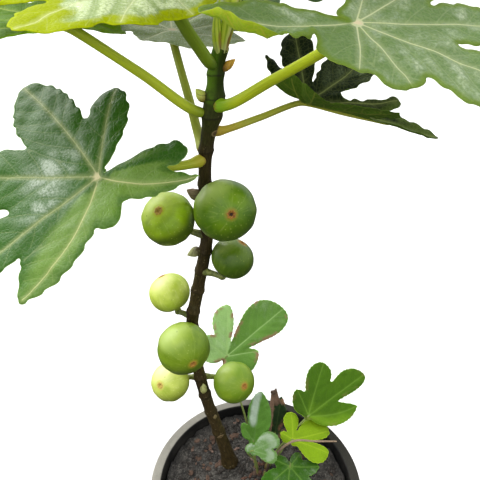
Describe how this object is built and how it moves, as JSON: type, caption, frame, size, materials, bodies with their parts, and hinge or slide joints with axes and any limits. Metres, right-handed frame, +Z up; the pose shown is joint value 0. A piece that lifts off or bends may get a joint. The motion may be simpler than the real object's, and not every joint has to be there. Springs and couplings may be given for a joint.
{
  "type": "potted fig tree",
  "caption": "Young fig tree with a slender leaning stem, round green figs and large lobed leaves, standing in a round nursery pot filled with soil.",
  "frame": {"origin": "centre of the pot's flat underside", "axes": "+Z up along the stem; the side with the most figs faces -Y"},
  "size_m": [0.3614, 0.3059, 0.7956],
  "materials": {
    "pot_plastic": "satin",
    "potting_soil": "matte",
    "bark": "matte",
    "young_green": "satin",
    "leaf_green": "satin",
    "fig_skin": "satin"
  },
  "bodies": {
    "root": {"pot": "pot_plastic", "soil": "potting_soil", "stem": "bark", "stem_tip": "young_green", "leaf_left_open": "leaf_green", "leaf_right_near": "leaf_green", "leaf_right_folded": "leaf_green", "leaf_back_left": "leaf_green", "leaf_left_low": "leaf_green", "leaf_left_high": "leaf_green", "leaf_back_right": "leaf_green", "leaf_back": "leaf_green", "leaf_far_left": "leaf_green", "leaf_right_high": "leaf_green", "leaf_front_high": "leaf_green", "fig_front_upper": "fig_skin", "fig_left_upper": "fig_skin", "fig_right_upper": "fig_skin", "fig_left_back": "fig_skin", "fig_front_lower": "fig_skin", "fig_left_lower": "fig_skin", "fig_right_lower": "fig_skin", "shoot_stem": "bark", "dry_stalk": "bark", "shoot_leaf_tall": "leaf_green", "shoot_leaf_right": "leaf_green", "shoot_leaf_young": "leaf_green", "shoot_leaf_upright": "leaf_green", "shoot_leaf_shaded": "leaf_green", "shoot_leaf_pale": "leaf_green", "shoot_leaf_front": "leaf_green"}
  },
  "joints": []
}
